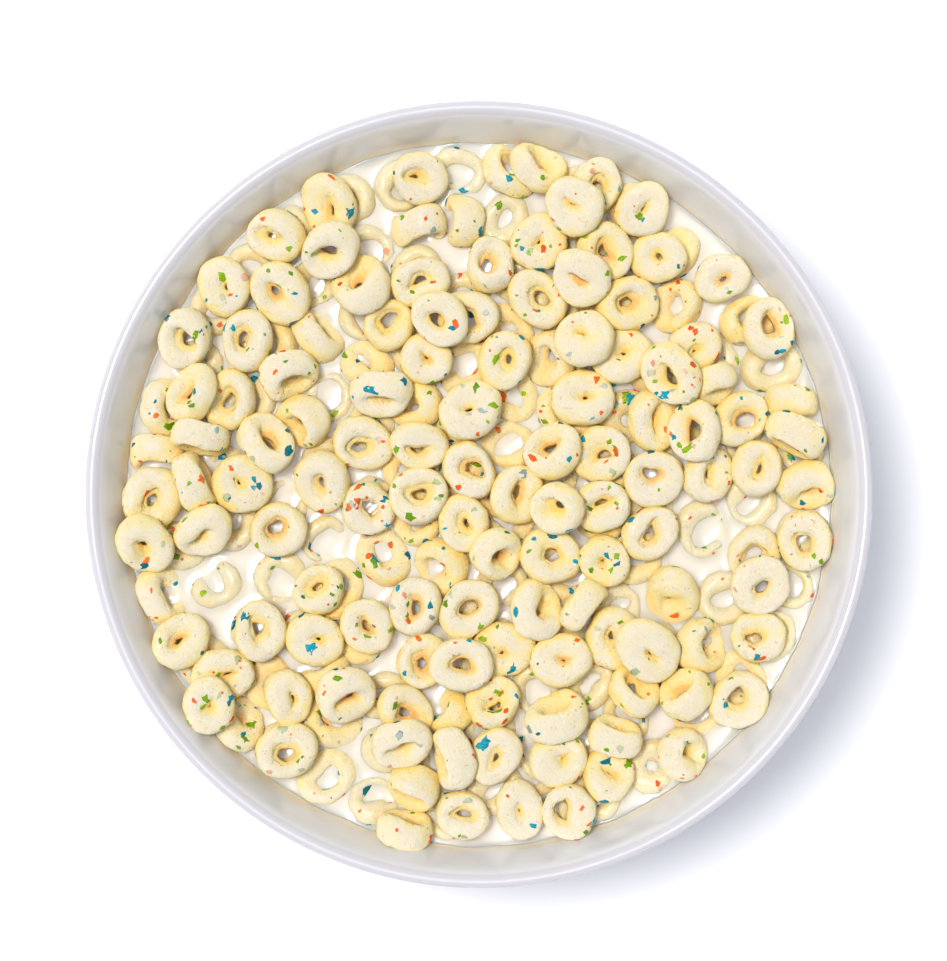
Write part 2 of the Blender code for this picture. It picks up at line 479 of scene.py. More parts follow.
def make_bed():
    """The uneven bed, the bowl's wall and a funnel above it that keeps the rings in, as one fixed body."""
    angles = np.arange(BED_STEPS) * math.tau / BED_STEPS
    rings = [(MILK_RADIUS * row / BED_ROWS, None) for row in range(1, BED_ROWS + 1)]
    rings += [(wall_radius(height), height) for height in (MILK_LEVEL, RIM_HEIGHT)]
    rings += [(wall_radius(RIM_HEIGHT), RIM_HEIGHT + FUNNEL_HEIGHT)]
    points = []
    for radius, height in rings:
        x, y = radius * np.cos(angles), radius * np.sin(angles)
        z = bed_height(x, y) if height is None else np.full(BED_STEPS, height)
        points += np.stack([x, y, z], -1).tolist()
    faces = []
    for row in range(len(rings) - 1):
        for step in range(BED_STEPS):
            a, b = row * BED_STEPS + step, row * BED_STEPS + (step + 1) % BED_STEPS
            faces.append((a, b, b + BED_STEPS, a + BED_STEPS))
    faces.append(tuple(range(BED_STEPS)))
    return body("bed", points, faces, "PASSIVE", "MESH")


def tumbled(chance, spread):
    """A turn for a ring, tilted by a random angle of this spread towards a random side."""
    turn = Matrix.Rotation(chance.uniform(0, math.tau), 3, "Z")
    return turn @ Matrix.Rotation(chance.gauss(0, spread), 3, "X")


def start_places(chance):
    """Where each ring starts, and its turn: spread over each layer, with a little jitter."""
    places = []
    for layer in LAYERS:
        spread = MILK_RADIUS - layer.wall_room * RING_RADIUS
        for i in range(layer.count):
            reach = spread * ((i + 0.5) / layer.count) ** CROWDING
            angle = layer.first_angle + i * GOLDEN_ANGLE
            x = reach * math.cos(angle) + chance.gauss(0, START_JITTER_MM) * MM
            y = reach * math.sin(angle) + chance.gauss(0, START_JITTER_MM) * MM
            turn = tumbled(chance, layer.tumble)
            z = MILK_LEVEL + layer.height + chance.uniform(0, 1) * layer.scatter
            places.append((Vector((x, y, z)), turn))
    return places


def roomiest_spot(taken, chance):
    """Of some random spots, the one furthest from those taken."""
    options = []
    for _ in range(SPOTS_TRIED):
        reach = (MILK_RADIUS - LAYERS[-1].wall_room * RING_RADIUS) * math.sqrt(chance.random())
        angle = chance.uniform(0, math.tau)
        spot = np.array((reach * math.cos(angle), reach * math.sin(angle)))
        options.append((min(np.linalg.norm(spot - other) for other in taken), tuple(spot)))
    return np.array(max(options)[1])


def dropped_again(rests, chance):
    """Lifts the rings that came to rest on edge or high up, to fall again where there is most room."""
    lifted = [i for i, (place, turn) in enumerate(rests)
              if abs(turn[2][2]) < math.cos(STEEP) or place[2] > MILK_LEVEL + TALL]
    on_top = MILK_LEVEL - 1 * MM
    taken = [place[:2] for i, (place, _) in enumerate(rests) if i not in lifted and place[2] > on_top]
    places = [(Vector(place), Matrix(turn)) for place, turn in rests]
    for i in lifted:
        spot = roomiest_spot(taken, chance)
        taken.append(spot)
        turn = tumbled(chance, LAYERS[-1].tumble)
        z = MILK_LEVEL + AGAIN_HEIGHT + chance.uniform(0, 1) * AGAIN_SCATTER
        places[i] = (Vector((*spot, z)), turn)
    return places


def make_movers(rings, places):
    """The rings as falling bodies, in outline only."""
    grid = ring_grid(*PROXY_STEPS)
    faces, _ = ring_quads(*PROXY_STEPS)
    movers = []
    for i, (ring, (place, turn)) in enumerate(zip(rings, places)):
        points = ring_surface(ring, *grid).reshape(-1, 3)
        mover = body(f"mover_{i}", points, faces, "ACTIVE", "CONVEX_HULL")
        mover.matrix_world = Matrix.Translation(place * SIM_SCALE) @ turn.to_4x4()
        mover.rigid_body.linear_damping = 0.25
        mover.rigid_body.angular_damping = 0.45
        movers.append(mover)
    return movers


def settle(rings, places):
    """Lets the rings fall into the bowl and returns where each comes to rest."""
    scene = bpy.context.scene
    bpy.ops.rigidbody.world_add()
    world = scene.rigidbody_world
    world.collection = bpy.data.collections.new("falling")
    world.substeps_per_frame = 5
    world.solver_iterations = 10
    scene.gravity = (0.0, 0.0, -SIM_GRAVITY)
    bed, movers = make_bed(), make_movers(rings, places)
    world.point_cache.frame_end = SIM_FRAMES
    for number in range(1, SIM_FRAMES + 1):
        scene.frame_set(number)
    graph = bpy.context.evaluated_depsgraph_get()
    rests = []
    for mover in movers:
        place, turn, _ = mover.evaluated_get(graph).matrix_world.decompose()
        rests.append((np.array(place) / SIM_SCALE, np.array(turn.to_matrix())))
    bpy.ops.rigidbody.world_remove()
    for made in (bed, *movers):
        mesh = made.data
        bpy.data.objects.remove(made, do_unlink=True)
        bpy.data.meshes.remove(mesh)
    scene.frame_set(1)
    return rests


# ------------ materials


def node(tree, kind, inputs=None, **settings):
    """Adds a shader node.  An input given as a socket is linked, and anything else is its value."""
    made = tree.nodes.new("ShaderNode" + kind)
    for key, value in settings.items():
        setattr(made, key, value)
    for key, value in (inputs or {}).items():
        if isinstance(value, bpy.types.NodeSocket):
            tree.links.new(value, made.inputs[key])
        else:
            made.inputs[key].default_value = value
    return made


def new_material(name):
    material = bpy.data.materials.new(name)
    material.use_nodes = True
    tree = material.node_tree
    tree.nodes.clear()
    return material, tree


def place_of(tree):
    return node(tree, "TexCoord").outputs["Object"]


def noise(tree, place, size, detail=2.0):
    """Noise from 0 to 1 whose lumps are about size across."""
    inputs = {"Vector": place, "Scale": 1 / size, "Detail": detail, "Roughness": 0.55}
    return node(tree, "TexNoise", inputs).outputs["Fac"]


def cells(tree, place, size):
    return node(tree, "TexVoronoi", {"Vector": place, "Scale": 1 / size}).outputs


def ramp(tree, value, low, high, bottom=0.0, top=1.0):
    """Turns low..high into bottom..top with an even curve."""
    inputs = {"Value": value, "From Min": low, "From Max": high, "To Min": bottom, "To Max": top}
    return node(tree, "MapRange", inputs, interpolation_type="SMOOTHSTEP").outputs[0]


def patches(tree, place, size, bottom=0.0, top=1.0, detail=2.0):
    """Soft uneven patches about size across, from bottom to top."""
    return ramp(tree, noise(tree, place, size, detail), 0.3, 0.7, bottom, top)


def maths(tree, operation, first, second):
    return node(tree, "Math", {0: first, 1: second}, operation=operation).outputs[0]


def mix(tree, amount, first, second):
    inputs = {0: amount, 6: first, 7: second}
    return node(tree, "Mix", inputs, data_type="RGBA").outputs[2]


def bump(tree, height, distance, strength=1.0):
    inputs = {"Height": height, "Distance": distance, "Strength": strength}
    return node(tree, "Bump", inputs).outputs[0]


def looks_of(tree):
    """The three numbers painted on the piece."""
    painted = node(tree, "Attribute", attribute_name="look").outputs["Color"]
    return node(tree, "SeparateColor", {"Color": painted}).outputs


def surface(tree, inputs):
    shader = node(tree, "BsdfPrincipled", inputs)
    node(tree, "OutputMaterial", {"Surface": shader.outputs[0]})


CREAM_PALE = display(237, 229, 211)
# Deep dough colour: used for the grain and for the painted shade where less sky is seen
CREAM_DEEP_GRAIN_AND_SHADE = display(243, 227, 158)
SOAKED_PALE = display(239, 232, 208)
# Deep soaked colour: used for the grain and for the painted shade where less sky is seen
SOAKED_DEEP_GRAIN_AND_SHADE = display(244, 231, 182)
# Painted shade: gold where a point sees little sky, between and under the rings
PAINTED_SHADE_GOLD = display(251, 216, 108)
# Brown inside the holes of some rings
HOLE_BROWN = display(242, 182, 84)
CRUMB = display(222, 186, 112)
# Whitish sugary grain, partly painted glints
SUGAR_AND_PAINTED_GLINT = display(243, 240, 228)
SPECK = display(150, 140, 60)
MILK_WHITE = display(235, 229, 224)
MILK_SHADE = display(235, 228, 221)
# Cream of a milk film; on the milk it is also painted warm bounce light near the rings
FILM_AND_BOUNCE_CREAM = display(241, 230, 198)
GLAZE = display(246, 248, 255)
GLAZE_SHADE = display(243, 245, 252)
# Painted grey shade on the bowl's lip
LIP_PAINTED_SHADE = display(222, 219, 225)
# Outer glaze, warmed to offset the cool light outside
OUTER_GLAZE_LIGHT_OFFSET = display(250, 248, 245)
# Painted warm reflection of the cereal on the shaded inner wall
PAINTED_CEREAL_REFLECTION = display(238, 208, 148)
FLOOR = display(249, 250, 255)
FOOT_CLAY = display(226, 216, 200)
FOOT_GRIT = display(206, 192, 172)
FLECK_LOOKS = {
    "teal": (display(10, 180, 206), display(0, 102, 116)),
    "green": (display(166, 202, 12), display(100, 150, 0)),
    "orange": (display(252, 136, 44), display(234, 84, 0)),
}


def dough_pores(tree, place):
    """Small open pores, gathered in places."""
    pores = ramp(tree, cells(tree, place, 0.62 * MM)["Distance"], 0.34, 0.12)
    return maths(tree, "MULTIPLY", pores, ramp(tree, noise(tree, place, 1.7 * MM), 0.5, 0.62))


def dough_dots(tree, place):
    """Fine dark dots, in about one in ten of small cells."""
    specks = cells(tree, place, 1.15 * MM)
    chosen = node(tree, "SeparateColor", {"Color": specks["Color"]}).outputs[0]
    return maths(tree, "MULTIPLY", ramp(tree, specks["Distance"], 0.17, 0.1), ramp(tree, chosen, 0.9, 0.92))


def dough_colour(tree, place, grain, pores, pale, deep, film):
    """Cream, with painted shade that makes it deeper and then golden where less sky is seen; browner inside the
    holes of some rings, and milky when wet.
    """
    toast, sky, wet = looks_of(tree)[:3]
    # Painted shade: deeper and then golden where less sky is seen
    shade = maths(tree, "ADD", sky, patches(tree, place, 2.4 * MM, -0.1, 0.1))
    colour = mix(tree, ramp(tree, shade, 0.4, 0.95), deep, pale)
    colour = mix(tree, ramp(tree, shade, 0.5, 0.05), colour, PAINTED_SHADE_GOLD)
    # Browner inside the holes of some rings
    colour = mix(tree, toast, colour, HOLE_BROWN)
    colour = mix(tree, ramp(tree, grain, 0.47, 0.62, 0.0, 0.45), colour, deep)
    # Whitish sugary grain, partly painted glints
    colour = mix(tree, ramp(tree, grain, 0.45, 0.34, 0.0, 0.6), colour, SUGAR_AND_PAINTED_GLINT)
    colour = mix(tree, maths(tree, "MULTIPLY", pores, 0.35), colour, CRUMB)
    colour = mix(tree, maths(tree, "MULTIPLY", dough_dots(tree, place), 0.35), colour, SPECK)
    milky = maths(tree, "MULTIPLY", wet, patches(tree, place, 1.9 * MM, 0.4 * film, film))
    return mix(tree, milky, colour, FILM_AND_BOUNCE_CREAM)


def cereal_material(name, pale, deep, roughness, coat, film, soft):
    """Puffed dough with a fine, porous grain."""
    material, tree = new_material(name)
    place = place_of(tree)
    grain = noise(tree, place, 0.5 * MM, 4.0)
    pores = dough_pores(tree, place)
    relief = maths(tree, "SUBTRACT", grain, maths(tree, "MULTIPLY", pores, 0.5))
    surface(tree, {
        "Base Color": dough_colour(tree, place, grain, pores, pale, deep, film),
        "Roughness": roughness,
        "Diffuse Roughness": 1.0,
        "Coat Weight": coat,
        "Coat Roughness": 0.18,
        "Subsurface Weight": soft,
        "Subsurface Radius": (1.0, 0.8, 0.45),
        "Subsurface Scale": 1.8 * MM,
        "Normal": bump(tree, relief, 0.36 * MM),
    })
    return material


def milk_material():
    """Milk: soft white, with painted warm bounce light near the rings, and creamier where it is only a film
    over one.
    """
    material, tree = new_material("milk")
    film = looks_of(tree)[0]
    place = place_of(tree)
    # Cream where the milk is a thin film over a ring, and painted warm bounce light near the rings
    skin_and_bounce = maths(tree, "MULTIPLY", film, patches(tree, place, 1.6 * MM, 0.55, 0.95))
    surface(tree, {
        "Base Color": mix(tree, skin_and_bounce, mix(tree, patches(tree, place, 9 * MM), MILK_WHITE, MILK_SHADE), FILM_AND_BOUNCE_CREAM),
        "Roughness": 0.16,
        "Subsurface Weight": 0.9,
        "Subsurface Radius": (1.0, 0.85, 0.7),
        "Subsurface Scale": 3.0 * MM,
        "Normal": bump(tree, noise(tree, place, 2.2 * MM), 0.05 * MM),
    })
    return material


def fleck_material(name, light, dark):
    """A chip of dried coloured crumb: uneven in colour, slightly rough, and faded where dough covers it."""
    material, tree = new_material(name)
    place = place_of(tree)
    shade, faded = looks_of(tree)[:2]
    depth = maths(tree, "ADD", maths(tree, "MULTIPLY", shade, 0.75), patches(tree, place, 0.45 * MM, top=0.5))
    surface(tree, {
        "Base Color": mix(tree, faded, mix(tree, depth, light, dark), CREAM_PALE),
        "Roughness": 0.5,
        "Specular IOR Level": 0.25,
        "Normal": bump(tree, noise(tree, place, 0.3 * MM), 0.05 * MM),
    })
    return material


def wall_film_and_reflection(tree, place, size, unevenness, top, full, most=1.0):
    """A band on the wall, for the milk film and for the painted reflection: gone at its top above the milk and
    full further down, with an uneven edge.
    """
    height = node(tree, "SeparateXYZ", {"Vector": place}).outputs["Z"]
    raised = maths(tree, "MULTIPLY", noise(tree, place, size, 3.0), unevenness)
    return ramp(tree, maths(tree, "ADD", height, raised), MILK_LEVEL + top, MILK_LEVEL + full, 0.0, most)


def glaze_material():
    """White glaze, with painted grey shade at the lip and warmed outside against the cool light; inside it has
    a painted warm reflection of the cereal on the shaded left, with a film of milk low down.
    """
    material, tree = new_material("bowl_glaze")
    place = place_of(tree)
    parts = node(tree, "SeparateXYZ", {"Vector": place}).outputs
    inside = looks_of(tree)[0]
    cloudy = mix(tree, patches(tree, place, 21 * MM, detail=3.0), GLAZE, GLAZE_SHADE)
    # The outside's glaze is warmer, to offset the cool surround light on it
    colour = mix(tree, inside, OUTER_GLAZE_LIGHT_OFFSET, cloudy)
    # Painted grey shade on the lip
    lip = ramp(tree, parts["Z"], RIM_HEIGHT - LIP_SHADE_DEPTH, RIM_HEIGHT - LIP_SHADE_DEPTH + 1 * MM)
    colour = mix(tree, lip, colour, LIP_PAINTED_SHADE)
    # Painted warm reflection of the cereal on the shaded left of the inner wall, low down
    left = ramp(tree, parts["X"], -MILK_RADIUS, 0.3 * MILK_RADIUS, 0.75, 0.0)
    painted_reflection = wall_film_and_reflection(tree, place, 7 * MM, unevenness=9 * MM, top=11 * MM, full=3 * MM)
    painted_reflection = maths(tree, "MULTIPLY", left, painted_reflection)
    colour = mix(tree, maths(tree, "MULTIPLY", inside, painted_reflection), colour, PAINTED_CEREAL_REFLECTION)
    milk = wall_film_and_reflection(tree, place, 6 * MM, unevenness=7 * MM, top=6.4 * MM, full=5.6 * MM, most=0.6)
    surface(tree, {
        "Base Color": mix(tree, maths(tree, "MULTIPLY", inside, milk), colour, FILM_AND_BOUNCE_CREAM),
        "Roughness": patches(tree, place, 13 * MM, 0.1, 0.17, detail=3.0),
        "IOR": 1.6,
        "Normal": bump(tree, noise(tree, place, 5 * MM, 3.0), 0.12 * MM, 0.5),
    })
    return material


def foot_material():
    """The bare, slightly gritty clay on which the bowl stands."""
    material, tree = new_material("bowl_foot")
    place = place_of(tree)
    grit = noise(tree, place, 0.5 * MM, 3.0)
    surface(tree, {
        "Base Color": mix(tree, ramp(tree, grit, 0.35, 0.65), FOOT_CLAY, FOOT_GRIT),
        "Roughness": 0.85,
        "Normal": bump(tree, grit, 0.1 * MM),
    })
    return material


# ------------ rings and flecks


def placed(points, rest):
    place, turn = rest
    return points.reshape(-1, 3) @ turn.T + place


def sky_directions():
    """Directions spread over the sky, closer together towards its top."""
    directions = []
    for i in range(SKY_RAYS):
        up = math.sqrt(1 - (i + 0.5) / SKY_RAYS)
        level = math.sqrt(1 - up * up)
        turn = i * GOLDEN_ANGLE
        directions.append(Vector((level * math.cos(turn), level * math.sin(turn), up)))
    return directions


def open_sky(ring, rest, tree):
    """How much of the sky each point of the ring sees, which sets the painted shade: 1 for flat open ground, 0
    deep between the rings.
    """
    around, across = ring_grid(RING_STEPS // 2, SECTION_STEPS // 2)
    points, _, _, normals = ring_frame(ring, around, across)
    directions = sky_directions()
    seen = []
    for point, normal in zip(placed(points, rest), normals.reshape(-1, 3) @ rest[1].T):
        total, normal = 0.0, Vector(normal)
        if point[2] > MILK_LEVEL - 1 * MM:
            start = Vector(point) + 0.1 * MM * normal
            for direction in directions:
                facing = normal.dot(direction)
                if facing > 0 and tree.ray_cast(start, direction, SKY_REACH)[0] is None:
                    total += facing / direction.z
        seen.append(total / SKY_RAYS)
    return doubled(np.array(seen).reshape(around.shape)).reshape(-1)


def doubled(grid):
    """A closed grid of values with twice the steps each way."""
    for axis in (0, 1):
        between = (grid + np.roll(grid, -1, axis)) / 2
        shape = list(grid.shape)
        shape[axis] *= 2
        grid = np.stack([grid, between], axis + 1).reshape(shape)
    return grid


def make_ring_piece(name, rings, rests, skies, material):
    """Joins rings of one kind in one mesh, each with its own tile in the bake layout."""
    around, across = ring_grid(RING_STEPS, SECTION_STEPS)
    quads, square = ring_quads(RING_STEPS, SECTION_STEPS)
    inward = smooth(0.8, 1.0, -np.cos(across)).reshape(-1)
    columns = math.ceil(math.sqrt(len(rings) / 2))
    lines = math.ceil(len(rings) / columns)
    tile = TILE_MARGIN + (1 - 2 * TILE_MARGIN) * square
    points, faces, looks, corners = [], [], [], []
    for i, (ring, rest, sky) in enumerate(zip(rings, rests, skies)):
        world = placed(ring_surface(ring, around, across), rest)
        wet = smooth(MILK_LEVEL + DRY_FROM, MILK_LEVEL + WET_BELOW, world[:, 2])
        points.append(world)
        faces.append(quads + i * RING_STEPS * SECTION_STEPS)
        # Looks: how much browner inside the hole, the sky seen for the painted shade with the ring's own tone,
        # and wetness
        looks.append(np.stack([inward * ring.toast, sky + TONE_SPREAD * (ring.tone - 0.5), wet], -1))
        corners.append((tile + (i % columns, i // columns)) / (columns, lines))
    piece = mesh_object(name, np.concatenate(points), np.concatenate(faces), [material])
    paint(piece, np.concatenate(looks))
    lay_out(piece, np.concatenate(corners))
    attach(piece, "cereal")


def surfaces_tree(rings, rests):
    """A tree of all the rings' surfaces, in which rays and nearest points can be looked up."""
    grid = ring_grid(RING_STEPS, SECTION_STEPS)
    quads, _ = ring_quads(RING_STEPS, SECTION_STEPS)
    points = [placed(ring_surface(ring, *grid), rest) for ring, rest in zip(rings, rests)]
    faces = np.arange(len(rings))[:, None, None] * RING_STEPS * SECTION_STEPS + quads
    return BVHTree.FromPolygons(np.concatenate(points).tolist(), faces.reshape(-1, 4).tolist())


def ring_frame(ring, around, across):
    """A point of the ring's surface, its slopes along around and across, and its outward normal."""
    step = 0.01
    point = ring_surface(ring, around, across)
    along = ring_surface(ring, around + step, across) - ring_surface(ring, around - step, across)
    over = ring_surface(ring, around, across + step) - ring_surface(ring, around, across - step)
    along, over = along / (2 * step), over / (2 * step)
    normal = np.cross(along, over)
    normal /= np.maximum(np.linalg.norm(normal, axis=-1, keepdims=True), TINY)
    return point, along, over, normal


def chip_outlines(kinds, rng):
    """Uneven, angular outlines: for each chip, its middle, an inner line and its edge twice."""
    count = len(kinds)
    size = np.clip(rng.lognormal(*FLECK_SIZE, count), SMALLEST_FLECK, LARGEST_FLECK)
    size = size * np.array(FLECK_SIZES)[kinds] * MM
    stretch = np.sqrt(rng.uniform(1.0, 1.9, count))[:, None]
    turn = rng.uniform(0, math.tau, count)[:, None]
    corner = np.arange(FLECK_CORNERS) + rng.uniform(-0.38, 0.38, (count, FLECK_CORNERS))
    corner *= math.tau / FLECK_CORNERS
    reach = rng.uniform(0.4, 1.0, (count, FLECK_CORNERS)) * size[:, None]
    u, v = reach * np.cos(corner) * stretch, reach * np.sin(corner) / stretch
    u, v = u * np.cos(turn) - v * np.sin(turn), u * np.sin(turn) + v * np.cos(turn)
    middle = np.zeros((count, 1))
    return [np.concatenate([middle, 0.6 * part, part, part], 1) for part in (u, v)]


def along_axis(vectors, axis):
    return (vectors * axis).sum(-1)[:, None]


def fleck_chips(ring, rest, rng):
    """The ring's chips that can be seen, bent to its surface: their points, colour numbers and looks."""
    count = int(np.clip(rng.lognormal(*FLECKS), FEWEST_FLECKS, MOST_FLECKS))
    around, across = rng.uniform(0, math.tau, count), rng.uniform(0, math.tau, count)
    colours = rng.choice(len(FLECK_COLOURS), count, p=FLECK_SHARES)
    u, v = chip_outlines(colours, rng)
    _, along, over, normal = ring_frame(ring, around, across)
    first = along / np.linalg.norm(along, axis=-1, keepdims=True)
    second = np.cross(normal, first)
    down = np.clip(v / along_axis(over, second), -CHIP_BEND, CHIP_BEND)
    side = np.clip((u - down * along_axis(over, first)) / along_axis(along, first), -CHIP_BEND, CHIP_BEND)
    point, _, _, outward = ring_frame(ring, around[:, None] + side, across[:, None] + down)
    lift = FLECK_LIFT * np.repeat([1.0, 1.0, 0.6, -1.0], [1] + [FLECK_CORNERS] * 3)
    point = placed(point + outward * lift[:, None], rest).reshape(count, -1, 3)
    facing = (normal @ rest[1].T)[:, 2]
    above = point[:, 0, 2] > MILK_LEVEL - CHIP_DEPTH
    seen = (facing > CHIP_FACING) & above & (np.cos(across) > CHIP_INNERMOST)
    faded = (rng.random(count) < FADED_SHARE) * rng.uniform(0.3, 0.75, count)
    looks = np.stack([rng.random(count), faded, np.zeros(count)], -1)
    return point[seen], colours[seen], looks[seen]


def chip_faces():
    """One chip's faces: a fan in the middle, a band round it, and a rim that goes down into the ring."""
    faces = []
    for i in range(FLECK_CORNERS):
        a, b = 1 + i, 1 + (i + 1) % FLECK_CORNERS
        faces.append((0, a, b))
        for low in (0, FLECK_CORNERS):
            faces.append((a + low, a + low + FLECK_CORNERS, b + low + FLECK_CORNERS))
            faces.append((a + low, b + low + FLECK_CORNERS, b + low))
    return np.array(faces)


def chip_tile():
    """Where one chip's points lie in its own unit square of the bake layout."""
    angle = np.concatenate([[0], np.tile(np.arange(FLECK_CORNERS) * math.tau / FLECK_CORNERS, 3)])
    radius = np.repeat(CHIP_CIRCLES, [1] + [FLECK_CORNERS] * 3)
    return 0.5 + np.stack([radius * np.cos(angle), radius * np.sin(angle)], -1)


def make_flecks(rings, rests):
    """All the chips, one piece for each colour."""
    rng = np.random.default_rng(SEED)
    chips = [fleck_chips(ring, rest, rng) for ring, rest in zip(rings, rests)]
    points, colours, looks = (np.concatenate(part) for part in zip(*chips))
    for number, name in enumerate(FLECK_COLOURS):
        chosen = points[colours == number]
        count, each = chosen.shape[:2]
        faces = (chip_faces() + np.arange(count)[:, None, None] * each).reshape(-1, 3)
        material = fleck_material("fleck_" + name, *FLECK_LOOKS[name])
        piece = mesh_object("flecks_" + name, chosen.reshape(-1, 3), faces, [material])
        paint(piece, np.repeat(looks[colours == number], each, axis=0))
        columns = math.ceil(math.sqrt(count))
        cell = np.stack([np.arange(count) % columns, np.arange(count) // columns], -1)
        lay_out(piece, ((cell[:, None] + chip_tile()) / columns).reshape(-1, 2)[faces])
        attach(piece, "cereal")


# ------------ milk, core and bowl


def wall_climb(angles):
    """How far the milk climbs the wall, unevenly, at each angle."""
    waves = sum(np.sin(count * angles + turn) for count, turn in WALL_WAVES) / len(WALL_WAVES)
    return WALL_CLIMB * (1 + WALL_UNEVENNESS * waves)


def milk_heights(x, y, climb, near_wall, tree):
    """The milk's height at each place, and how creamy it is there: thin over a ring, and painted warm bounce
    light near one.
    """
    heights = MILK_LEVEL + climb * np.exp(-near_wall / WALL_REACH)
    film = np.zeros(len(x))
    down = Vector((0, 0, -1))
    for i in range(len(x)):
        nearest, _, _, gap = tree.find_nearest((x[i], y[i], MILK_LEVEL), 4 * CLIMB_REACH)
        if nearest:
            shown = smooth(MILK_LEVEL - HIDDEN_DEPTH, MILK_LEVEL - SHOWN_DEPTH, nearest.z)
            heights[i] += RING_CLIMB * shown * math.exp(-gap / CLIMB_REACH)
            # Painted warm bounce light from the rings, as cream near them
            film[i] = PAINTED_BOUNCE_CREAM * math.exp(-gap / PAINTED_BOUNCE_REACH)
        _, normal, _, depth = tree.ray_cast((x[i], y[i], heights[i]), down)
        if normal:
            film[i] = max(film[i], 1.0 if normal.z < 0 else math.exp(-depth / FILM_DEPTH))
    return heights, film


def milk_body(start):
    """The milk under its surface, down the bowl's wall to the floor: points, faces and bake layout."""
    steps, levels = 6 * MILK_ROWS, np.linspace(MILK_LEVEL - 1 * MM, MILK_BOTTOM, BODY_ROWS)
    turn = np.arange(steps) * math.tau / steps
    points, faces, corners = [], [], []
    for row, level in enumerate(levels):
        radius = max(wall_radius(level), 0.2 * MM) + WALL_OVERLAP
        points.append(np.stack([radius * np.cos(turn), radius * np.sin(turn), np.full(steps, level)], -1))
        for step in range(steps):
            a, b = start + row * steps + step, start + row * steps + (step + 1) % steps
            faces.append((a, a + steps, b + steps, b))
            band = np.array([(step, row), (step, row + 1), (step + 1, row + 1), (step + 1, row)])
            corners.append(band * (1 / steps, BODY_STRIP / BODY_ROWS))
    faces.append(tuple(start + BODY_ROWS * steps + step for step in reversed(range(steps))))
    corners.append(np.full((steps, 2), BODY_FLOOR))
    return np.concatenate(points), faces, np.concatenate(corners)


def smoothed(values, faces):
    """Each point's value, averaged with those around it a few times."""
    pairs = np.concatenate([np.roll(np.array(faces), turn, 1)[:, :2] for turn in range(3)])
    around = np.bincount(pairs[:, 0], minlength=len(values))
    for _ in range(SMOOTHINGS):
        values = (values + np.bincount(pairs[:, 0], values[pairs[:, 1]], len(values)) / around) / 2
    return values


def make_milk(tree):
    """The milk: a fine surface that meets the wall and the rings, over a plain body."""
    rows, angles, faces = disc_grid(MILK_ROWS)
    climb = wall_climb(angles)
    edge = wall_radius(MILK_LEVEL + climb) + WALL_OVERLAP
    reach = edge * rows / MILK_ROWS
    x, y = reach * np.cos(angles), reach * np.sin(angles)
    heights, film = milk_heights(x, y, climb, edge - reach, tree)
    heights = np.where(rows < MILK_ROWS, smoothed(heights, faces), heights)
    film = smoothed(film, faces)
    flat = TOP_MIDDLE + TOP_HALF * np.stack([x, y], -1) / edge.max()
    points, more_faces, more_corners = milk_body(len(x) - 6 * MILK_ROWS)
    points = np.concatenate([np.stack([x, y, heights], -1), points])
    piece = mesh_object("milk_pool", points, faces + more_faces, [milk_material()])
    for polygon in piece.data.polygons[len(faces):]:
        polygon.use_smooth = False
    thin = np.zeros((len(points), 3))
    thin[:len(film)] = film[:, None]
    paint(piece, thin)
    lay_out(piece, np.concatenate([flat[np.array(faces)].reshape(-1, 2), more_corners]))
    attach(piece, "milk")


def make_core(material):
    """The mass under the rings: an uneven lens of soaked cereal within the milk."""
    rows, angles, faces = disc_grid(CORE_ROWS)
    radii = (MILK_RADIUS - CORE_WALL_ROOM) * rows / CORE_ROWS
    x, y = radii * np.cos(angles), radii * np.sin(angles)
    fullness = smooth(1.0, 0.75, rows / CORE_ROWS)
    lump = np.sin(x / (1.9 * MM)) * np.sin(y / (2.1 * MM) + np.sin(x / (5 * MM)))
    upper = bed_height(x, y) - CORE_DEPTH + CORE_LUMPS * lump
    lower = HEAP_BOTTOM + 1 * MM
    middle = (upper.min() + lower) / 2
    high, low = middle + (upper - middle) * fullness, middle + (lower - middle) * fullness
    inner = rows < CORE_ROWS
    under = np.where(inner, np.arange(len(rows)) + len(rows), np.arange(len(rows)))
    points = np.concatenate([np.stack([x, y, high], -1), np.stack([x, y, low], -1)[inner]])
    faces = faces + [under[list(face[::-1])] for face in faces]
    piece = mesh_object("cereal_core", points, faces, [material])
    paint(piece, np.tile(CORE_LOOKS, (len(points), 1)))
    attach(piece, "cereal")


def turned_faces(rows, along):
    """A turned line's faces and bake layout; its points come row by row, then its first and last point."""
    last, first_point, last_point = (rows - 1) * BOWL_TURNS, rows * BOWL_TURNS, rows * BOWL_TURNS + 1
    faces, corners = [], []
    for step in range(BOWL_TURNS):
        onward = (step + 1) % BOWL_TURNS
        left, right = step / BOWL_TURNS, (step + 1) / BOWL_TURNS
        faces.append((first_point, step, onward))
        corners += [(left, 0), (left, along[1]), (right, along[1])]
        for row in range(rows - 1):
            a, b = row * BOWL_TURNS + step, row * BOWL_TURNS + onward
            faces.append((a, a + BOWL_TURNS, b + BOWL_TURNS, b))
            near, far = along[row + 1], along[row + 2]
            corners += [(left, near), (left, far), (right, far), (right, near)]
        faces.append((last + step, last_point, last + onward))
        corners += [(left, along[-2]), (left, 1), (right, along[-2])]
    return faces, corners


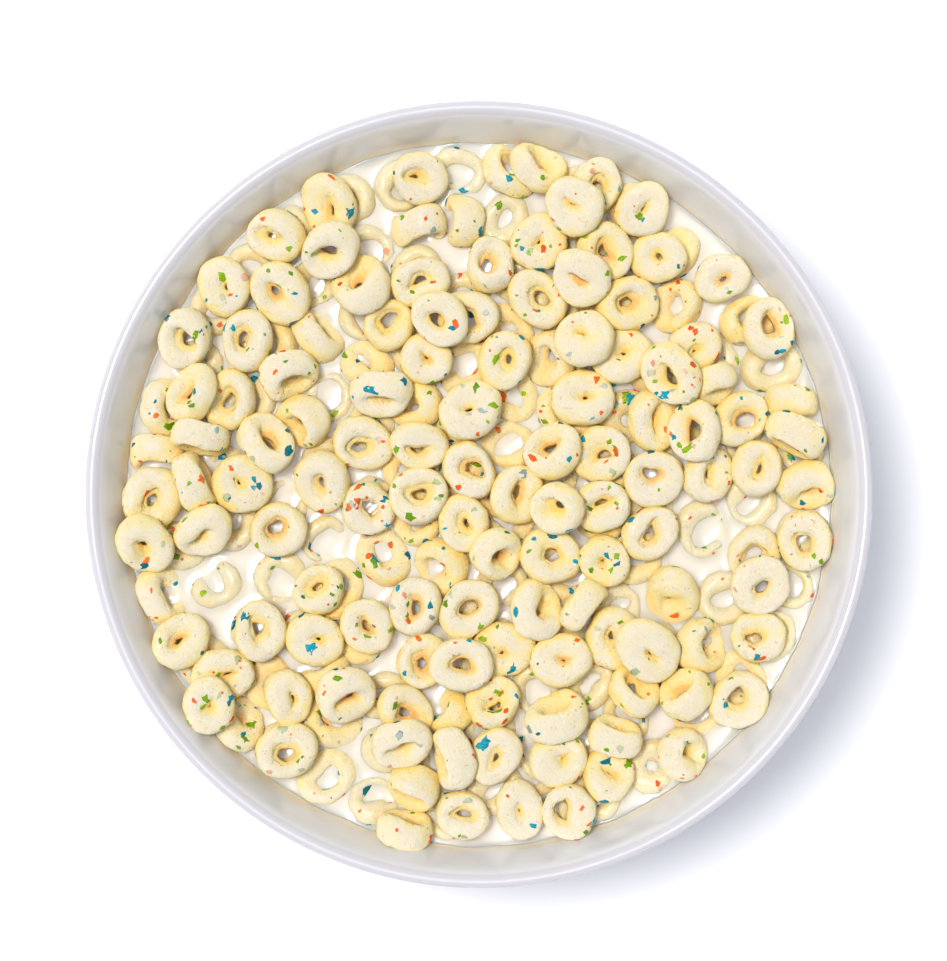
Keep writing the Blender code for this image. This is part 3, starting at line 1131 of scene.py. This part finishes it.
def make_bowl():
    """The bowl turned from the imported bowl's section, glazed all over but for the foot it stands on."""
    line = refined(OUTLINE, BOWL_STEP)
    turn = np.arange(BOWL_TURNS) * math.tau / BOWL_TURNS
    rows = [np.stack([r * np.cos(turn), r * np.sin(turn), np.full(BOWL_TURNS, z)], -1) for r, z in line[1:-1]]
    points = np.concatenate(rows + [[(0, 0, line[0][1]), (0, 0, line[-1][1])]])
    along = np.concatenate([[0], np.cumsum(np.linalg.norm(np.diff(line, axis=0), axis=1))])
    faces, corners = turned_faces(len(rows), along / along[-1])
    piece = mesh_object("bowl_body", points, faces, [glaze_material(), foot_material()])
    for polygon in piece.data.polygons:
        polygon.material_index = int(all(points[index][2] < BARE_FOOT for index in polygon.vertices))
    inside = np.repeat(np.arange(len(rows)) < np.argmax(line[:, 1]), BOWL_TURNS)
    paint(piece, np.concatenate([inside, [True, False]])[:, None].repeat(3, 1))
    lay_out(piece, corners)
    attach(piece, "bowl")


# ------------ scene


def make_camera():
    data = bpy.data.cameras.new("camera")
    data.lens = LENS
    data.sensor_width = SENSOR
    data.sensor_fit = "AUTO"
    data.clip_start, data.clip_end = 0.01, 20.0
    camera = bpy.data.objects.new("camera", data)
    bpy.context.scene.collection.objects.link(camera)
    distance = VIEW_HEIGHT * LENS / SENSOR
    camera.location = (CAMERA_OFFSET.x, CAMERA_OFFSET.y, RIM_HEIGHT + distance)
    bpy.context.scene.camera = camera


def towards_light(tilt):
    """The direction of a light that is tilted this far from overhead."""
    level = math.sin(tilt)
    return Vector((level * math.cos(LIGHT_AZIMUTH), level * math.sin(LIGHT_AZIMUTH), math.cos(tilt)))


def make_light():
    data = bpy.data.lights.new("key", "SUN")
    data.energy = KEY_STRENGTH
    data.angle = KEY_ANGLE
    data.color = KEY_COLOUR
    key = bpy.data.objects.new("key", data)
    bpy.context.scene.collection.objects.link(key)
    key.rotation_mode = "QUATERNION"
    key.rotation_quaternion = towards_light(KEY_TILT).to_track_quat("Z", "Y")


def make_sky():
    world = bpy.data.worlds.new("surround")
    bpy.context.scene.world = world
    world.use_nodes = True
    tree = world.node_tree
    direction = node(tree, "TexCoord").outputs["Generated"]
    inputs = {0: direction, 1: towards_light(PANEL_TILT)}
    facing = node(tree, "VectorMath", inputs, operation="DOT_PRODUCT").outputs["Value"]
    background = tree.nodes["Background"]
    background.inputs["Color"].default_value = (*SKY_COLOUR, 1.0)
    panel = ramp(tree, facing, math.cos(PANEL_EDGE), math.cos(PANEL_MIDDLE), 0.0, PANEL_LEVEL)
    height = node(tree, "SeparateXYZ", {"Vector": direction}).outputs["Z"]
    walls = ramp(tree, height, 0.0, math.sin(WALLS_TOP), WALLS_LEVEL, SKY_LEVEL)
    tree.links.new(maths(tree, "ADD", panel, walls), background.inputs["Strength"])


def make_floor():
    corners = [(x * FLOOR_HALF, y * FLOOR_HALF, 0) for x, y in ((-1, -1), (1, -1), (1, 1), (-1, 1))]
    material, tree = new_material("floor")
    surface(tree, {"Base Color": FLOOR, "Roughness": 0.9})
    mesh_object("floor", corners, [(0, 1, 2, 3)], [material])


def make_cereal():
    """Lets the rings fall and makes the heap; returns a tree of the rings' surfaces for the milk to find."""
    chance = random.Random(SEED)
    places = start_places(chance)
    rings = [random_ring(chance) for _ in places]
    rests = settle(rings, places)
    for _ in range(RETRIES):
        rests = settle(rings, dropped_again(rests, chance))
    tree = surfaces_tree(rings, rests)
    # Sky each point sees, for the painted shade
    skies = [open_sky(ring, rest, tree) for ring, rest in zip(rings, rests)]
    soaked = cereal_material("cereal_soaked", SOAKED_PALE, SOAKED_DEEP_GRAIN_AND_SHADE, 0.42, 0.35, film=0.75, soft=0.6)
    moist = cereal_material("cereal_moist", CREAM_PALE, CREAM_DEEP_GRAIN_AND_SHADE, 0.5, 0.15, film=0.6, soft=0.0)
    dry = cereal_material("cereal_dry", CREAM_PALE, CREAM_DEEP_GRAIN_AND_SHADE, 0.62, 0.0, film=0.4, soft=0.0)
    pieces = (("rings_soaked", soaked), ("rings_moist", moist), ("rings_dry", dry))
    lowest_first = sorted(range(len(rings)), key=lambda i: rests[i][0][2])
    share = math.ceil(len(rings) / len(pieces))
    for number, (name, material) in enumerate(pieces):
        chosen = lowest_first[number * share:(number + 1) * share]
        make_ring_piece(name, *([part[i] for i in chosen] for part in (rings, rests, skies)), material)
    make_core(soaked)
    make_flecks(rings, rests)
    return tree


def main():
    bpy.context.scene.view_settings.view_transform = "Standard"
    make_camera()
    make_light()
    make_sky()
    make_floor()
    make_bowl()
    make_milk(make_cereal())


main()
